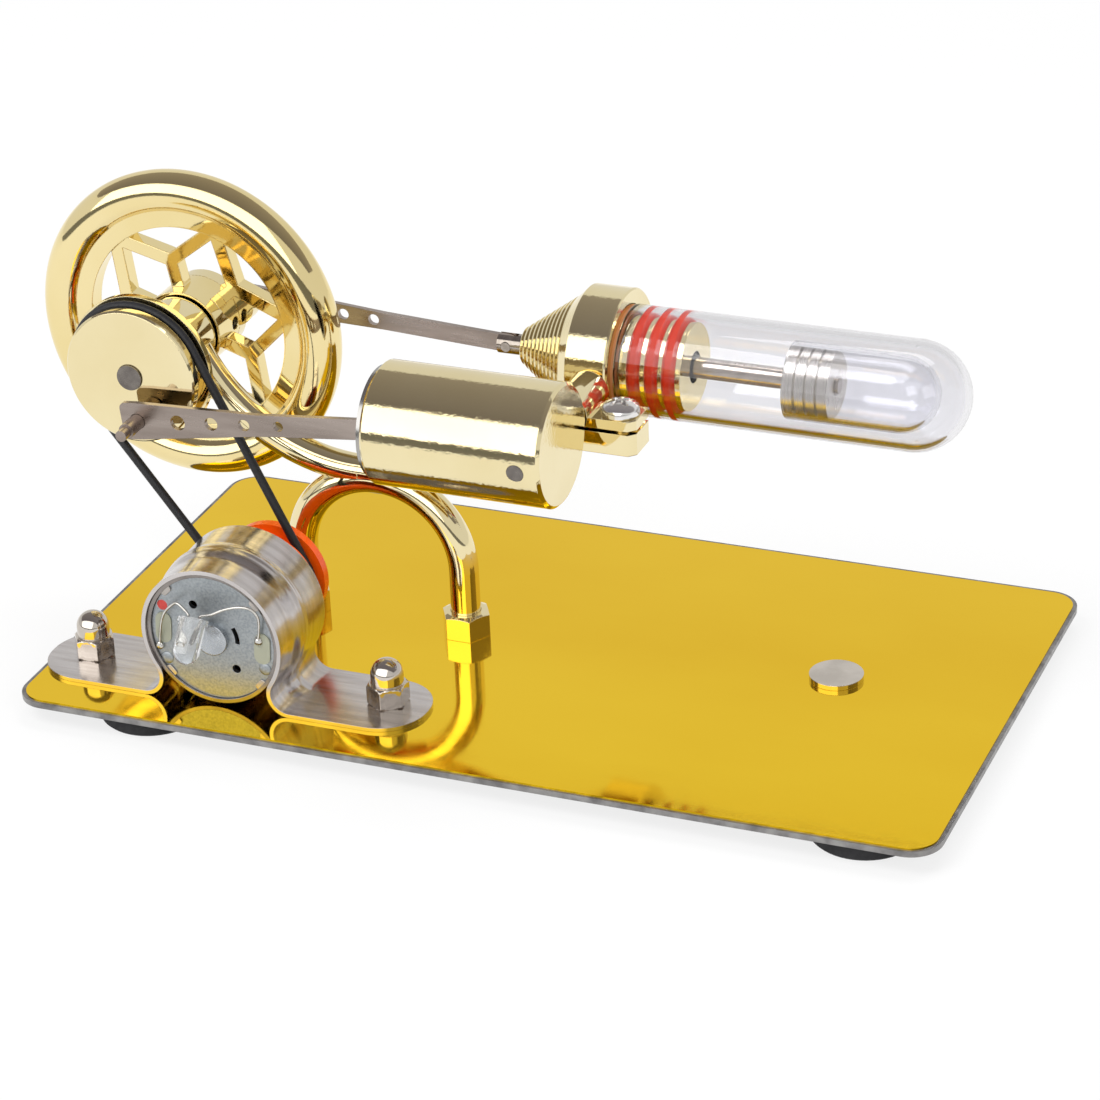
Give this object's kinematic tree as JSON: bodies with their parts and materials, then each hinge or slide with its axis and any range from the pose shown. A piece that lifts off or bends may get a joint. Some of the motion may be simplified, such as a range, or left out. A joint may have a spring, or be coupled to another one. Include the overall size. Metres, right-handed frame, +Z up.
{
  "type": "stirling engine",
  "caption": "Desk-top hot-air engine on a gold plate: glass displacer tube, power cylinder, spoked flywheel, belt-driven generator with a small lamp.",
  "frame": {"origin": "centre of the bounding box in plan, on the surface the feet stand on", "axes": "+X runs along the plate from the flywheel end to the glass end, +Y from the generator side to the back, +Z up"},
  "size_m": [0.1974, 0.1, 0.0901],
  "materials": {
    "steel_plate": "sheared bare metal edge, satin",
    "gold_film": "mirror gold film, faint streaks",
    "black_rubber": "matt moulded rubber",
    "nickel": "bright nickel plating",
    "gold_chrome": "mirror polished pale gold plating",
    "zinc_steel": "satin zinc plating",
    "stainless": "polished sheet with faint draw lines",
    "zinc_sheet": "matt grey zinc coating with fine grain",
    "pale_insulator": "matt pale grey-green",
    "ferrite": "matt dark ceramic magnet",
    "bronze": "sintered bronze",
    "clear_resin": "water clear moulded resin",
    "tinned_wire": "tinned wire and solder",
    "bearing_steel": "ground bearing steel",
    "liner_steel": "fine turned steel",
    "grey_plug": "dull grey plug",
    "orange_rubber": "satin orange-red silicone",
    "brown_gasket": "matt brown-orange fibre rubber",
    "clear_glass": "clear drawn glass",
    "belt_rubber": "matt black round rubber",
    "shaft_steel": "ground steel",
    "dark_steel": "black oxide",
    "rod_steel": "satin stamped sheet, slightly warm grey",
    "ribbed_aluminium": "turned bright aluminium",
    "orange_plastic": "glossy moulded orange plastic",
    "copper_winding": "enamelled copper winding on an iron core"
  },
  "bodies": {
    "engine_base": {"base_plate": "steel_plate", "base_film": "gold_film", "foot_pads": "black_rubber", "rest_disc": "nickel", "support_frame": "gold_chrome", "frame_leg_nuts": "gold_chrome", "frame_leg_screws": "zinc_steel", "motor_bracket": "stainless", "bracket_cap_nuts": "nickel", "bracket_bolts": "zinc_steel", "motor_can": "zinc_steel", "motor_end_plate": "zinc_sheet", "motor_terminals": "pale_insulator", "motor_field_magnets": "ferrite", "motor_rear_bush": "bronze", "lamp_body": "clear_resin", "lamp_leads": "tinned_wire", "shaft_bearings": "bearing_steel", "power_cylinder": "gold_chrome", "cylinder_liner": "liner_steel", "cylinder_plug": "grey_plug", "passage_tube": "gold_chrome", "clamp_screw": "nickel", "displacer_head": "gold_chrome", "rod_bush": "bronze", "seal_rings": "orange_rubber", "mouth_gasket": "brown_gasket", "glass_tube": "clear_glass", "drive_belt": "belt_rubber"},
    "crankshaft": {"crank_shaft": "shaft_steel", "flywheel": "gold_chrome", "hub_set_screw": "dark_steel", "front_crank_disc": "gold_chrome", "front_pin_spacer": "shaft_steel", "rear_crank_arm": "gold_chrome", "rear_pin_spacer": "shaft_steel"},
    "generator_rotor": {"generator_pulley": "orange_plastic", "motor_shaft": "shaft_steel", "motor_armature": "copper_winding"},
    "piston": {"power_piston": "liner_steel", "wrist_pin": "shaft_steel"},
    "power_link": {"power_rod": "rod_steel", "power_rod_stud": "rod_steel"},
    "displacer": {"displacer_rod": "shaft_steel", "clevis_pin": "shaft_steel", "displacer_plug": "ribbed_aluminium", "displacer_glass": "clear_glass"},
    "displacer_rocker": {"displacer_link": "rod_steel", "link_screw": "nickel"}
  },
  "joints": [
    {"name": "crank_spin", "type": "hinge", "parent": "engine_base", "child": "crankshaft", "pos_m": [-0.06735, -0.0215, 0.0588], "axis": [0, 1, 0], "continuous": true},
    {"name": "generator_spin", "type": "hinge", "parent": "engine_base", "child": "generator_rotor", "pos_m": [-0.04275, -0.0215, 0.0189], "axis": [0, 1, 0], "continuous": true},
    {"name": "piston_slide", "type": "slide", "parent": "engine_base", "child": "piston", "axis": [1, 0, 0], "range_m": [-0.01014, 0.00485]},
    {"name": "power_link_swing", "type": "hinge", "parent": "piston", "child": "power_link", "pos_m": [0.00329, -0.0215, 0.0588], "axis": [0, 1, 0], "range_deg": [-0.52, 12.13]},
    {"name": "displacer_slide", "type": "slide", "parent": "engine_base", "child": "displacer", "axis": [1, 0, 0], "range_m": [-0.01429, 0.0007]},
    {"name": "displacer_link_swing", "type": "hinge", "parent": "displacer", "child": "displacer_rocker", "pos_m": [-0.00505, 0.017, 0.0588], "axis": [0, 1, 0], "range_deg": [-10.85, 4.67]}
  ],
  "couplings": [
    {"joint": "generator_spin", "follows": "crank_spin", "ratio": 1.5529}
  ]
}
